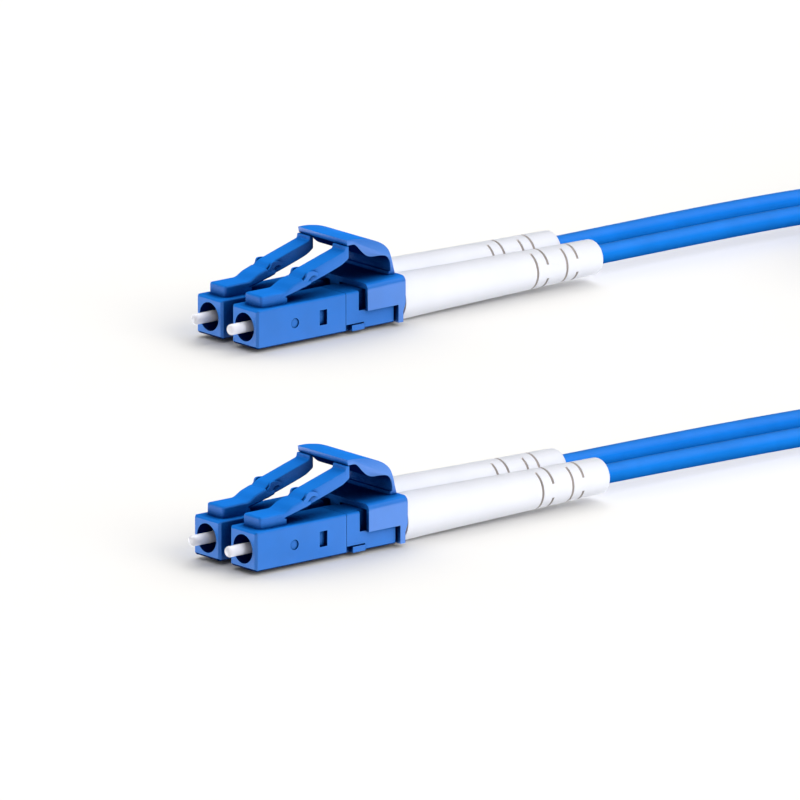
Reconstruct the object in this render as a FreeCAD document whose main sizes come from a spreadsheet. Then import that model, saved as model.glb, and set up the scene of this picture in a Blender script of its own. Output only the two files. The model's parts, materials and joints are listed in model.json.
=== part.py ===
import FreeCAD, Part
import math
import os
import Sketcher

# Duplex armoured fibre patch cord: two duplex plug ends and the two strands between them.
# Millimetres, +Z up. The plugs point along -X and lie on the floor at z = 0.
# Each plug piece is drawn in the plug's own frame: x = 0 at the housing's front face, on the ferrule's axis.

SIZES = [
    ("end_shift_x", 63.83, "far end ahead of the near end, along the plugs"),
    ("end_shift_y", 76.95, "far end beside the near end, across the plugs"),
    ("plug_pitch", 6.25, "between the two ferrule axes of one end"),
    ("housing_side", 4.5, "square section of the plug housing"),
    ("housing_length", 12.9, "front face to rear edge of the housing"),
    ("edge_round", 0.25, "rounded long edges of housing and rear body"),
    ("nose_chamfer", 0.25, "chamfer round the housing's front face"),
    ("recess_diameter", 3.3, "front recess round the ferrule"),
    ("recess_depth", 2.2, "depth of the front recess"),
    ("throat_wall", 0.6, "wall that the ferrule collar seats on"),
    ("throat_clearance", 0.2, "room round the ferrule in that wall"),
    ("cavity_diameter", 3.5, "bore behind the wall for collar and spring"),
    ("window_start", 9.1, "front edge of the snap window"),
    ("window_length", 1.07, "snap window along the plug"),
    ("window_height", 1.75, "snap window across the plug"),
    ("mark_position", 5.5, "round moulded dimple on the side"),
    ("mark_diameter", 1.15, "dimple diameter"),
    ("mark_depth", 0.12, "dimple depth"),
    ("latch_width", 2.92, "root block and ears of the latch"),
    ("root_start", 1.2, "front of the latch root block"),
    ("root_height", 1.35, "root block above the housing"),
    ("root_round", 0.3, "rounded front corners of the root block"),
    ("root_crown", 0.28, "rounded top edges of the root block"),
    ("knuckle_position", 5.0, "where the latch arm bends"),
    ("knuckle_diameter", 0.7, "thickness of the bending root"),
    ("hinge_gap", 0.04, "gap between a bending root and its seat"),
    ("ear_start", 7.6, "front of the latch ears"),
    ("ear_end", 8.75, "locking face of the latch ears"),
    ("ear_rise", 1.78, "arm top at the locking face, above the knuckle's top"),
    ("ear_crown", 0.12, "ears stand above the arm"),
    ("ear_round", 0.55, "rounded top of the ears"),
    ("arm_width", 2.25, "latch arm behind the ears"),
    ("arm_thickness", 1.5, "latch arm measured upright"),
    ("tip_position", 14.25, "rear end of the latch arm"),
    ("tip_rise", 3.37, "arm top at its rear end, above the knuckle's top"),
    ("riser_height", 0.33, "upturned end of the latch arm"),
    ("riser_thickness", 0.5, "upturned end along the plug"),
    ("ferrule_diameter", 1.25, "ceramic ferrule"),
    ("ferrule_protrusion", 2.3, "ferrule ahead of the front face"),
    ("ferrule_length", 6.5, "ferrule from tip to rear end"),
    ("ferrule_dome", 0.4, "rounded tip of the ferrule"),
    ("ferrule_taper_start", 1.9, "rear end of the ferrule's ground cylinder"),
    ("ferrule_taper", 0.7, "taper from there to the bonded seat"),
    ("ferrule_seat_diameter", 1.2, "bonded seat of the ferrule"),
    ("bond_gap", 0.01, "bond line round the ferrule's seat"),
    ("collar_width", 2.9, "hexagon collar across flats"),
    ("collar_length", 1.5, "collar along the plug"),
    ("collar_gap", 0.05, "collar clear of the wall that it seats on"),
    ("tail_diameter", 1.6, "tail of the ferrule holder"),
    ("tail_bore", 0.9, "bore of the tail"),
    ("tail_length", 6.0, "tail behind the collar"),
    ("ferrule_travel", 0.8, "how far the ferrule pushes back"),
    ("spring_diameter", 2.3, "mean diameter of the ferrule spring"),
    ("spring_wire", 0.3, "square wire of the ferrule spring"),
    ("spring_pitch", 1.45, "spring coils apart"),
    ("snout_start", 8.7, "front end of the rear body's snout"),
    ("snout_clearance", 0.05, "snout in the housing bore"),
    ("snout_bore", 2.8, "snout bore round the spring"),
    ("spring_seat", 10.9, "shoulder that backs the spring"),
    ("barb_clearance", 0.08, "barb in its window"),
    ("barb_sink", 0.42, "barb below the housing's side"),
    ("body_seam", 0.06, "seam between housing and rear body"),
    ("body_end", 19.9, "rear face of the rear body's block"),
    ("body_bore", 1.9, "bore through the rear body"),
    ("notch_start", 14.8, "front of the side notch"),
    ("notch_end", 16.1, "rear of the side notch"),
    ("notch_depth", 0.7, "side notch depth"),
    ("notch_floor", 0.05, "side notch bottom below the axis"),
    ("foot_notch_height", 0.8, "corner notch over the foot tab"),
    ("foot_notch_depth", 0.5, "corner notch depth"),
    ("foot_start", 13.75, "front of the foot tab"),
    ("foot_end", 15.55, "rear of the foot tab"),
    ("foot_slit", 0.14, "slit over the foot tab"),
    ("foot_proud", 0.1, "foot tab proud of the side"),
    ("neck_diameter", 3.0, "crimp neck of the rear body"),
    ("neck_end", 25.5, "rear end of the crimp neck"),
    ("crimp_start", 21.7, "front end of the crimp sleeve"),
    ("crimp_end", 28.2, "rear end of the crimp sleeve"),
    ("crimp_wall", 0.4, "crimp sleeve wall"),
    ("crimp_clearance", 0.05, "crimp sleeve on neck and strand"),
    ("strand_diameter", 2.2, "one armoured strand"),
    ("boot_front_diameter", 5.4, "front end of the boot"),
    ("boot_rear_diameter", 3.5, "rear end of the boot"),
    ("boot_gap", 0.1, "boot behind the duplex clip"),
    ("boot_length", 29.5, "boot along the plug"),
    ("boot_clearance", 0.05, "boot bore on crimp sleeve and strand"),
    ("boot_pocket_end", 28.5, "rear end of the boot's wide bore"),
    ("boot_lip_round", 0.45, "rounded rear lip of the boot"),
    ("slot_first", 9.9, "first slot ring before the boot's rear end"),
    ("slot_step", 1.6, "crossed slot ring behind the first"),
    ("slot_repeat", 4.4, "slot rings of one kind apart"),
    ("slot_width", 0.32, "slot along the boot"),
    ("slot_floor", 0.35, "boot wall left under a slot"),
    ("slot_arc", 138.0, "degrees round the boot that one slot runs"),
    ("clip_front", 15.75, "front edge of the duplex clip"),
    ("clip_rear", 21.3, "rear face of the duplex clip"),
    ("clip_rear_wall", 1.05, "clip's rear wall"),
    ("clip_wall", 0.4, "clip's side wall"),
    ("clip_clearance", 0.05, "clip on the rear bodies"),
    ("clip_side_drop", 0.15, "lower edge of the side walls below the axis"),
    ("foot_inset", 0.35, "rear wall's foot ahead of the clip's rear face"),
    ("foot_taper", 0.8, "slanted stretch above that foot"),
    ("roof_front", 0.62, "clip roof at its front edge"),
    ("roof_rear", 0.74, "clip roof at its rear edge"),
    ("roof_level", 1.0, "level stretch at the rear of the roof"),
    ("roof_round", 0.7, "rounded long edges of the roof"),
    ("neck_clearance", 0.15, "rear wall's fork round a crimp neck"),
    ("trigger_width", 8.6, "trigger across both plugs"),
    ("trigger_bead", 0.6, "bending root of the trigger"),
    ("bead_inset", 0.65, "trigger root ahead of the clip's rear face"),
    ("bead_lift", 0.12, "trigger root's centre above the roof"),
    ("post_thickness", 0.55, "upright post of the trigger"),
    ("lip_position", 14.1, "front lip of the trigger"),
    ("lip_thickness", 0.5, "front lip thickness"),
    ("lip_gap", 0.12, "lip above the latch arms"),
    ("lip_length", 1.2, "lip ahead of the hollow under it"),
    ("crest_position", 15.7, "highest line of the trigger"),
    ("crest_rise", 0.02, "highest line above the lip"),
    ("bend_position", 19.5, "where the trigger's back turns down"),
    ("bend_drop", 1.25, "that turn below the highest line"),
    ("heel_drop", 3.1, "top of the post below the highest line"),
    ("back_round", 1.8, "rounded back of the trigger"),
    ("hollow_position", 16.5, "rear end of the hollow under the lip"),
    ("hollow_drop", 1.95, "that end below the highest line"),
    ("belly_start", 17.8, "front of the trigger's belly"),
    ("belly_end", 19.5, "rear of the trigger's belly"),
    ("belly_drop", 2.46, "belly below the highest line"),
    ("belly_slant", 0.5, "belly's end above the straight part of the post"),
    ("belly_round", 0.5, "rounded underside of the trigger"),
    ("coil_x", 118.0, "centre of the strand coil"),
    ("coil_diameter", 66.8, "middle of the coil's turns"),
    ("coil_width", 4.4, "coil section across"),
    ("coil_height", 9.5, "coil section upright"),
    ("coil_round", 1.0, "bevelled edges of the coil section"),
    ("tie_thickness", 0.5, "tie round the coil"),
    ("tie_angle", 11.0, "degrees of the coil that a tie covers"),
    ("tie_clearance", 0.05, "tie on the coil"),
]

# The route of each strand from its crimp to the coil, chosen by hand: the coil turns them towards each other.
ROUTES = {
    "a1": [
        (33.215, 35.35, 2.7),
        (58.7, 35.35, 2.7),
        (84.5, 35.335, 2.65),
        (100.5, 35.2, 2.35),
        (111.7, 34.1, 1.2),
        (122.5, 32.0, 1.5),
    ],
    "a2": [
        (33.215, 41.6, 2.7),
        (59.7, 41.6, 2.7),
        (86.5, 41.585, 2.65),
        (103.5, 41.3, 2.35),
        (115.7, 37.8, 1.5),
        (126.9, 33.3, 1.6),
    ],
    "b1": [
        (-30.615, -41.6, 2.7),
        (-6.7, -41.6, 2.7),
        (17.5, -41.62, 2.65),
        (33.5, -41.7, 2.35),
        (56.5, -41.75, 1.2),
        (82.5, -41.3, 3.1),
        (106.0, -38.5, 8.2),
        (126.9, -33.3, 8.85),
    ],
    "b2": [
        (-30.615, -35.35, 2.7),
        (-6.7, -35.35, 2.7),
        (17.5, -35.37, 2.65),
        (33.5, -35.45, 2.35),
        (56.5, -35.5, 1.2),
        (81.5, -35.45, 3.1),
        (103.7, -34.3, 8.3),
        (122.5, -32.0, 8.9),
    ],
}
ARC_SHARE = 0.45

# Each plug: its label, which end it is on (+1 far, -1 near) and its side of that end (+1 far, -1 near).
PLUGS = [("a1", 1, -1), ("a2", 1, 1), ("b1", -1, -1), ("b2", -1, 1)]
ENDS = [("a", 1), ("b", -1)]
TIES = [("coil_tie_1", 0.0), ("coil_tie_2", 180.0)]


class Size:
    """A length together with the sheet expression that gives it."""

    def __init__(self, value, text):
        self.value = value
        self.text = text

    def combine(self, other, sign, value):
        return Size(value, "(%s %s %s)" % (self.text, sign, other.text))

    def __add__(self, other):
        other = as_size(other)
        return self.combine(other, "+", self.value + other.value)

    def __sub__(self, other):
        other = as_size(other)
        return self.combine(other, "-", self.value - other.value)

    def __mul__(self, other):
        other = as_size(other)
        return self.combine(other, "*", self.value * other.value)

    def __truediv__(self, other):
        other = as_size(other)
        return self.combine(other, "/", self.value / other.value)

    def __neg__(self):
        return as_size(0.0) - self


def as_size(number):
    return number if isinstance(number, Size) else Size(float(number), repr(float(number)))


class Sheet:
    """The driving dimensions by name, as sizes."""

    def __init__(self, doc):
        self.cells = doc.addObject("Spreadsheet::Sheet", "Sizes")
        for row, (name, value, meaning) in enumerate(SIZES, start=1):
            self.cells.set("A%d" % row, meaning)
            self.cells.set("B%d" % row, str(value))
            self.cells.setAlias("B%d" % row, name)
            setattr(self, name, Size(value, "Sizes." + name))


doc = FreeCAD.newDocument("patch_cord")
S = Sheet(doc)
doc.recompute()

HALF_SIDE = S.housing_side / 2
AXIS_HEIGHT = S.boot_front_diameter / 2
SEAT_X = S.recess_depth + S.throat_wall + S.collar_gap
COLLAR_END = SEAT_X + S.collar_length
BOOT_START = S.clip_rear + S.boot_gap
BOOT_END = BOOT_START + S.boot_length
END_MIDDLE = (BOOT_END - S.ferrule_protrusion) / 2
KNUCKLE_Z = HALF_SIDE + S.root_height - S.knuckle_diameter / 2
KNUCKLE_TOP = HALF_SIDE + S.root_height
ROOF_BOTTOM = HALF_SIDE + S.clip_clearance
ROOF_TOP = ROOF_BOTTOM + S.roof_rear
BEAD_X = S.clip_rear - S.bead_inset
BEAD_Z = ROOF_TOP + S.bead_lift
TIP_Z = KNUCKLE_TOP + S.tip_rise + S.riser_height
LIP_BOTTOM = TIP_Z + S.lip_gap
LIP_TOP = LIP_BOTTOM + S.lip_thickness

pieces = []


# Helpers for bodies, sketches and features


def new_body(label):
    body = doc.addObject("PartDesign::Body", label)
    body.Label = label
    pieces.append(body)
    return body


def place(body, x, y, z):
    for axis, size in zip("xyz", (x, y, z)):
        body.setExpression("Placement.Base." + axis, as_size(size).text)


def origin(body, role):
    return next(feature for feature in body.Origin.OriginFeatures if feature.Role == role)


def new_sketch(body, role, offset=None):
    sketch = body.newObject("Sketcher::SketchObject", "sketch")
    sketch.AttachmentSupport = (origin(body, role), [""])
    sketch.MapMode = "FlatFace"
    if offset is not None:
        sketch.setExpression("AttachmentOffset.Base.z", as_size(offset).text)
    return sketch


def bind(sketch, kind, where, size):
    size = as_size(size)
    index = sketch.addConstraint(Sketcher.Constraint(kind, *where, size.value))
    sketch.setExpression("Constraints[%d]" % index, size.text)


def outline(sketch, points):
    """A closed straight-sided outline whose corners follow the sheet."""
    corners = [(as_size(x), as_size(y)) for x, y in points]
    spots = [FreeCAD.Vector(x.value, y.value, 0) for x, y in corners]
    first = sketch.GeometryCount
    count = len(corners)
    for number in range(count):
        sketch.addGeometry(Part.LineSegment(spots[number], spots[(number + 1) % count]))
    for number in range(count):
        follower = first + (number + 1) % count
        sketch.addConstraint(Sketcher.Constraint("Coincident", first + number, 2, follower, 1))
    for number, (x, y) in enumerate(corners):
        bind(sketch, "DistanceX", (-1, 1, first + number, 1), x)
        bind(sketch, "DistanceY", (-1, 1, first + number, 1), y)


def rectangle(sketch, x0, x1, y0, y1):
    outline(sketch, [(x0, y0), (x1, y0), (x1, y1), (x0, y1)])


def circle(sketch, x, y, diameter):
    x, y, diameter = as_size(x), as_size(y), as_size(diameter)
    centre = FreeCAD.Vector(x.value, y.value, 0)
    index = sketch.addGeometry(Part.Circle(centre, FreeCAD.Vector(0, 0, 1), diameter.value / 2))
    bind(sketch, "DistanceX", (-1, 1, index, 3), x)
    bind(sketch, "DistanceY", (-1, 1, index, 3), y)
    bind(sketch, "Diameter", (index,), diameter)


def add_feature(body, kind, sketch, **settings):
    """A sketched feature; a setting that is a size is bound to the sheet."""
    feature = body.newObject("PartDesign::" + kind, kind.lower())
    feature.Profile = sketch
    for name, value in settings.items():
        if isinstance(value, Size):
            feature.setExpression(name, value.text)
        else:
            setattr(feature, name, value)
    doc.recompute()
    return feature


def pad(body, sketch, length, **settings):
    return add_feature(body, "Pad", sketch, Length=length, **settings)


def cut(body, kind, sketch, **settings):
    """A pocket or groove, which has to take material away."""
    before = body.Tip.Shape.Volume
    feature = add_feature(body, kind, sketch, **settings)
    if feature.Shape.isNull() or feature.Shape.Volume >= before:
        raise RuntimeError("%s: a cut removes nothing" % body.Label)
    return feature


def revolve(body, sketch, kind="Revolution", **settings):
    axis = (origin(body, "X_Axis"), [""])
    maker = cut if kind == "Groove" else add_feature
    return maker(body, kind, sketch, ReferenceAxis=axis, **settings)


def polar_pair(body, feature):
    pattern = body.newObject("PartDesign::PolarPattern", "polar")
    pattern.Originals = [feature]
    pattern.Axis = (origin(body, "X_Axis"), [""])
    pattern.Angle = 360
    pattern.Occurrences = 2
    body.Tip = pattern
    doc.recompute()


def dress(body, kind, size, wanted):
    """A fillet or chamfer on the edges of the last feature that the test picks."""
    base = body.Tip
    edges = base.Shape.Edges
    names = ["Edge%d" % number for number, edge in enumerate(edges, start=1) if wanted(edge)]
    if not names:
        raise RuntimeError("%s: no edge to dress" % body.Label)
    feature = body.newObject("PartDesign::" + kind, kind.lower())
    feature.Base = (base, names)
    feature.setExpression("Radius" if kind == "Fillet" else "Size", size.text)
    doc.recompute()


def near(a, b):
    return abs(a - b) < 1e-4


def lies_at(edge, **spots):
    """True if every given coordinate is the same all along the edge and has that value."""
    box = edge.BoundBox
    limits = {"x": (box.XMin, box.XMax), "y": (box.YMin, box.YMax), "z": (box.ZMin, box.ZMax)}
    return all(near(limits[axis][0], at) and near(limits[axis][1], at) for axis, at in spots.items())


def runs_along(edge, axis):
    box = edge.BoundBox
    spans = {"x": box.XLength, "y": box.YLength, "z": box.ZLength}
    return spans[axis] > 1e-3 and all(span < 1e-4 for name, span in spans.items() if name != axis)


def clone(master, label):
    body = doc.addObject("PartDesign::Body", label)
    body.Label = label
    body.BaseFeature = master
    pieces.append(body)
    return body


def plug_set(name, make):
    """One piece for each plug: the first is made, the others follow it."""
    master = None
    for label, end, side in PLUGS:
        full = "%s_%s" % (name, label)
        body = clone(master, full) if master else new_body(full)
        if master is None:
            make(body)
            master = body
        x = S.end_shift_x * (end / 2) - END_MIDDLE
        y = S.end_shift_y * (end / 2) + S.plug_pitch * (side / 2)
        place(body, x, y, AXIS_HEIGHT)


def end_set(name, make):
    """One piece for each end, in the middle between its plugs."""
    master = None
    for label, end in ENDS:
        full = "%s_%s" % (name, label)
        body = clone(master, full) if master else new_body(full)
        if master is None:
            make(body)
            master = body
        place(body, S.end_shift_x * (end / 2) - END_MIDDLE, S.end_shift_y * (end / 2), AXIS_HEIGHT)


# Pieces of one plug


def make_housing(body):
    block = new_sketch(body, "YZ_Plane")
    rectangle(block, -HALF_SIDE, HALF_SIDE, -HALF_SIDE, HALF_SIDE)
    pad(body, block, S.housing_length)
    dress(body, "Fillet", S.edge_round, lambda edge: runs_along(edge, "x"))
    dress(body, "Chamfer", S.nose_chamfer, lambda edge: lies_at(edge, x=0.0))

    root = new_sketch(body, "XZ_Plane")
    rectangle(root, S.root_start, S.knuckle_position, HALF_SIDE - S.edge_round, KNUCKLE_TOP)
    pad(body, root, S.latch_width, Midplane=True)
    front = S.root_start.value
    dress(body, "Fillet", S.root_round, lambda edge: runs_along(edge, "z") and near(edge.BoundBox.XMin, front))
    behind, top = S.knuckle_position.value, KNUCKLE_TOP.value
    dress(body, "Fillet", S.root_crown, lambda edge: lies_at(edge, z=top) and not lies_at(edge, x=behind))
    socket = new_sketch(body, "XZ_Plane")
    circle(socket, S.knuckle_position, KNUCKLE_Z, S.knuckle_diameter + S.hinge_gap * 2)
    cut(body, "Pocket", socket, Length=S.housing_side * 2, Midplane=True)

    bore = new_sketch(body, "XZ_Plane")
    throat = S.ferrule_diameter / 2 + S.throat_clearance
    wall = S.recess_depth + S.throat_wall
    outline(
        bore,
        [
            (0, 0),
            (0, S.recess_diameter / 2),
            (S.recess_depth, S.recess_diameter / 2),
            (S.recess_depth, throat),
            (wall, throat),
            (wall, S.cavity_diameter / 2),
            (S.housing_length, S.cavity_diameter / 2),
            (S.housing_length, 0),
        ],
    )
    revolve(body, bore, "Groove", Angle=360)

    window = new_sketch(body, "XZ_Plane")
    half = S.window_height / 2
    rectangle(window, S.window_start, S.window_start + S.window_length, -half, half)
    cut(body, "Pocket", window, Length=S.housing_side * 2, Midplane=True)
    mark = new_sketch(body, "XZ_Plane", HALF_SIDE)
    circle(mark, S.mark_position, 0, S.mark_diameter)
    cut(body, "Pocket", mark, Length=S.mark_depth)


def make_latch(body):
    """The arm bends at its knuckle; it is wide up to the ears' locking faces and slim behind them."""
    top_slope = (S.tip_rise - S.ear_rise) / (S.tip_position - S.ear_end)
    ear_top = KNUCKLE_TOP + S.ear_rise
    tip_top = KNUCKLE_TOP + S.tip_rise
    start_top = ear_top - top_slope * (S.ear_end - S.ear_start)
    front = new_sketch(body, "XZ_Plane")
    outline(
        front,
        [
            (S.knuckle_position, KNUCKLE_TOP),
            (S.ear_start, start_top),
            (S.ear_end, ear_top),
            (S.ear_end, ear_top - S.arm_thickness),
            (S.ear_start, start_top - S.arm_thickness),
            (S.knuckle_position, KNUCKLE_Z - S.knuckle_diameter / 2),
        ],
    )
    pad(body, front, S.latch_width, Midplane=True)
    knuckle = new_sketch(body, "XZ_Plane")
    circle(knuckle, S.knuckle_position, KNUCKLE_Z, S.knuckle_diameter)
    pad(body, knuckle, S.latch_width, Midplane=True)
    ears = new_sketch(body, "XZ_Plane")
    ear_x = S.ear_end - S.ear_round
    circle(ears, ear_x, ear_top - top_slope * S.ear_round + S.ear_crown - S.ear_round, S.ear_round * 2)
    pad(body, ears, S.latch_width, Midplane=True)
    saddle = new_sketch(body, "XZ_Plane")
    outline(
        saddle,
        [
            (S.ear_start, start_top),
            (S.ear_end, ear_top),
            (S.ear_end, ear_top + S.ear_round),
            (S.ear_start, start_top + S.ear_round),
        ],
    )
    cut(body, "Pocket", saddle, Length=S.arm_width, Midplane=True)
    rear = new_sketch(body, "XZ_Plane")
    riser_x = S.tip_position - S.riser_thickness
    outline(
        rear,
        [
            (S.ear_start, start_top),
            (riser_x, tip_top - top_slope * S.riser_thickness),
            (riser_x, TIP_Z),
            (S.tip_position, TIP_Z),
            (S.tip_position, tip_top - S.arm_thickness),
            (S.ear_start, start_top - S.arm_thickness),
        ],
    )
    pad(body, rear, S.arm_width, Midplane=True)


def make_ferrule(body):
    profile = new_sketch(body, "XZ_Plane")
    tip = -S.ferrule_protrusion
    radius = S.ferrule_diameter / 2
    seat = S.ferrule_seat_diameter / 2
    tail = tip + S.ferrule_length
    outline(
        profile,
        [
            (tip, 0),
            (tip, radius),
            (S.ferrule_taper_start, radius),
            (S.ferrule_taper_start + S.ferrule_taper, seat),
            (tail, seat),
            (tail, 0),
        ],
    )
    revolve(body, profile, Angle=360)
    dress(body, "Fillet", S.ferrule_dome, lambda edge: lies_at(edge, x=tip.value))


def make_holder(body):
    flat = S.collar_width / 2
    corner = flat / math.cos(math.radians(30))
    collar = new_sketch(body, "YZ_Plane", SEAT_X)
    outline(
        collar,
        [
            (corner, 0),
            (corner / 2, flat),
            (-corner / 2, flat),
            (-corner, 0),
            (-corner / 2, -flat),
            (corner / 2, -flat),
        ],
    )
    pad(body, collar, S.collar_length)
    tail = new_sketch(body, "YZ_Plane", COLLAR_END)
    circle(tail, 0, 0, S.tail_diameter)
    pad(body, tail, S.tail_length)
    bore = new_sketch(body, "XZ_Plane")
    pocket = S.ferrule_seat_diameter / 2 + S.bond_gap
    floor = S.ferrule_length - S.ferrule_protrusion + S.bond_gap
    end = COLLAR_END + S.tail_length
    outline(
        bore,
        [
            (SEAT_X, 0),
            (SEAT_X, pocket),
            (floor, pocket),
            (floor, S.tail_bore / 2),
            (end, S.tail_bore / 2),
            (end, 0),
        ],
    )
    revolve(body, bore, "Groove", Angle=360)


def make_spring(body):
    wire = new_sketch(body, "XZ_Plane")
    half = S.spring_wire / 2
    radius = S.spring_diameter / 2
    rectangle(wire, COLLAR_END, COLLAR_END + S.spring_wire, radius - half, radius + half)
    helix = body.newObject("PartDesign::AdditiveHelix", "helix")
    helix.Profile = wire
    helix.ReferenceAxis = (origin(body, "X_Axis"), [""])
    helix.Mode = "pitch-height-angle"
    helix.setExpression("Pitch", S.spring_pitch.text)
    helix.setExpression("Height", (S.spring_seat - COLLAR_END - S.spring_wire).text)
    doc.recompute()


def make_rear_body(body):
    block_start = S.housing_length + S.body_seam
    block = new_sketch(body, "YZ_Plane", block_start)
    rectangle(block, -HALF_SIDE, HALF_SIDE, -HALF_SIDE, HALF_SIDE)
    pad(body, block, S.body_end - block_start)
    dress(body, "Fillet", S.edge_round, lambda edge: runs_along(edge, "x"))

    notches = new_sketch(body, "XY_Plane", -S.notch_floor)
    foot_notches = new_sketch(body, "XY_Plane", -HALF_SIDE)
    tabs = new_sketch(body, "XY_Plane", -HALF_SIDE)
    for side in (1, -1):
        outer = S.housing_side * side
        rectangle(notches, S.notch_start, S.notch_end, (HALF_SIDE - S.notch_depth) * side, outer)
        inner = (HALF_SIDE - S.foot_notch_depth) * side
        rectangle(foot_notches, block_start, S.foot_end, inner, outer)
        rectangle(tabs, S.foot_start, S.foot_end, inner, (HALF_SIDE + S.foot_proud) * side)
    cut(body, "Pocket", notches, Length=S.housing_side, Reversed=True)
    cut(body, "Pocket", foot_notches, Length=S.foot_notch_height, Reversed=True)
    pad(body, tabs, S.foot_notch_height - S.foot_slit)

    snout = new_sketch(body, "XZ_Plane")
    outer = S.cavity_diameter / 2 - S.snout_clearance
    rectangle(snout, S.snout_start, block_start + S.body_seam, S.body_bore / 2, outer)
    revolve(body, snout, Angle=360)
    barb = new_sketch(body, "XZ_Plane")
    reach = S.window_height / 2 - S.barb_clearance
    barb_start = S.window_start + S.barb_clearance
    rectangle(barb, barb_start, barb_start + S.window_length - S.barb_clearance * 2, -reach, reach)
    pad(body, barb, S.housing_side - S.barb_sink * 2, Midplane=True)
    neck = new_sketch(body, "YZ_Plane", S.body_end - S.body_seam)
    circle(neck, 0, 0, S.neck_diameter)
    pad(body, neck, S.neck_end - S.body_end + S.body_seam)
    bore = new_sketch(body, "XZ_Plane")
    outline(
        bore,
        [
            (S.snout_start, 0),
            (S.snout_start, S.snout_bore / 2),
            (S.spring_seat, S.snout_bore / 2),
            (S.spring_seat, S.body_bore / 2),
            (S.neck_end, S.body_bore / 2),
            (S.neck_end, 0),
        ],
    )
    revolve(body, bore, "Groove", Angle=360)


def make_crimp(body):
    profile = new_sketch(body, "XZ_Plane")
    wide = S.neck_diameter / 2 + S.crimp_clearance
    slim = S.strand_diameter / 2 + S.crimp_clearance
    step = S.neck_end + S.crimp_clearance
    outline(
        profile,
        [
            (S.crimp_start, wide),
            (S.crimp_start, wide + S.crimp_wall),
            (step + S.crimp_wall, wide + S.crimp_wall),
            (step + S.crimp_wall, slim + S.crimp_wall),
            (S.crimp_end, slim + S.crimp_wall),
            (S.crimp_end, slim),
            (step, slim),
            (step, wide),
        ],
    )
    revolve(body, profile, Angle=360)


def make_boot(body):
    """A taper with crossed rings of slots: one kind opens at the sides, the other above and below."""
    profile = new_sketch(body, "XZ_Plane")
    pocket = S.neck_diameter / 2 + S.crimp_clearance + S.crimp_wall + S.boot_clearance
    bore = S.strand_diameter / 2 + S.boot_clearance
    outline(
        profile,
        [
            (BOOT_START, pocket),
            (BOOT_START, S.boot_front_diameter / 2),
            (BOOT_END, S.boot_rear_diameter / 2),
            (BOOT_END, bore),
            (S.boot_pocket_end, bore),
            (S.boot_pocket_end, pocket),
        ],
    )
    revolve(body, profile, Angle=360)
    end, rim = BOOT_END.value, S.boot_rear_diameter.value / 2
    dress(body, "Fillet", S.boot_lip_round, lambda edge: lies_at(edge, x=end) and near(edge.BoundBox.ZMax, rim))
    first = BOOT_END - S.slot_first
    for plane, start in (("XY_Plane", first), ("XZ_Plane", first + S.slot_step)):
        rings = new_sketch(body, plane)
        for ring in (start, start + S.slot_repeat):
            rectangle(rings, ring, ring + S.slot_width, bore + S.slot_floor, S.boot_front_diameter)
        slots = revolve(body, rings, "Groove", Angle=S.slot_arc, Midplane=True)
        polar_pair(body, slots)


# Pieces of one end


def make_clip(body):
    """A saddle over both rear bodies, with a forked rear wall and a seat for the trigger's root."""
    wall_front = S.clip_rear - S.clip_rear_wall
    profile = new_sketch(body, "XZ_Plane")
    outline(
        profile,
        [
            (S.clip_front, -S.clip_side_drop),
            (S.clip_front, ROOF_BOTTOM + S.roof_front),
            (S.clip_rear - S.roof_level, ROOF_TOP),
            (S.clip_rear, ROOF_TOP),
            (S.clip_rear, -S.clip_side_drop),
            (S.clip_rear - S.foot_inset, -S.clip_side_drop - S.foot_taper),
            (S.clip_rear - S.foot_inset, -HALF_SIDE),
            (wall_front, -HALF_SIDE),
            (wall_front, -S.clip_side_drop),
        ],
    )
    channel = S.housing_side + S.clip_clearance * 2
    width = S.plug_pitch + channel + S.clip_wall * 2
    pad(body, profile, width, Midplane=True)
    half, top = width.value / 2, ROOF_BOTTOM.value

    def roof_edge(edge):
        box = edge.BoundBox
        at_side = near(box.YMin, box.YMax) and near(abs(box.YMin), half)
        return at_side and box.ZMin > top + 1e-4 and box.XLength > 1e-3

    dress(body, "Fillet", S.roof_round, roof_edge)
    channels = new_sketch(body, "YZ_Plane", S.clip_front)
    forks = new_sketch(body, "YZ_Plane", wall_front)
    fork = S.neck_diameter / 2 + S.neck_clearance
    for side in (1, -1):
        middle = S.plug_pitch * (side / 2)
        rectangle(channels, middle - channel / 2, middle + channel / 2, -S.housing_side, ROOF_BOTTOM)
        rectangle(forks, middle - fork, middle + fork, -S.housing_side, fork)
    cut(body, "Pocket", channels, Length=wall_front - S.clip_front, Reversed=True)
    cut(body, "Pocket", forks, Length=S.clip_rear_wall * 2, Reversed=True)
    seat = new_sketch(body, "XZ_Plane")
    circle(seat, BEAD_X, BEAD_Z, S.trigger_bead + S.hinge_gap * 2)
    cut(body, "Pocket", seat, Length=S.trigger_width + S.hinge_gap * 4, Midplane=True)


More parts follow.
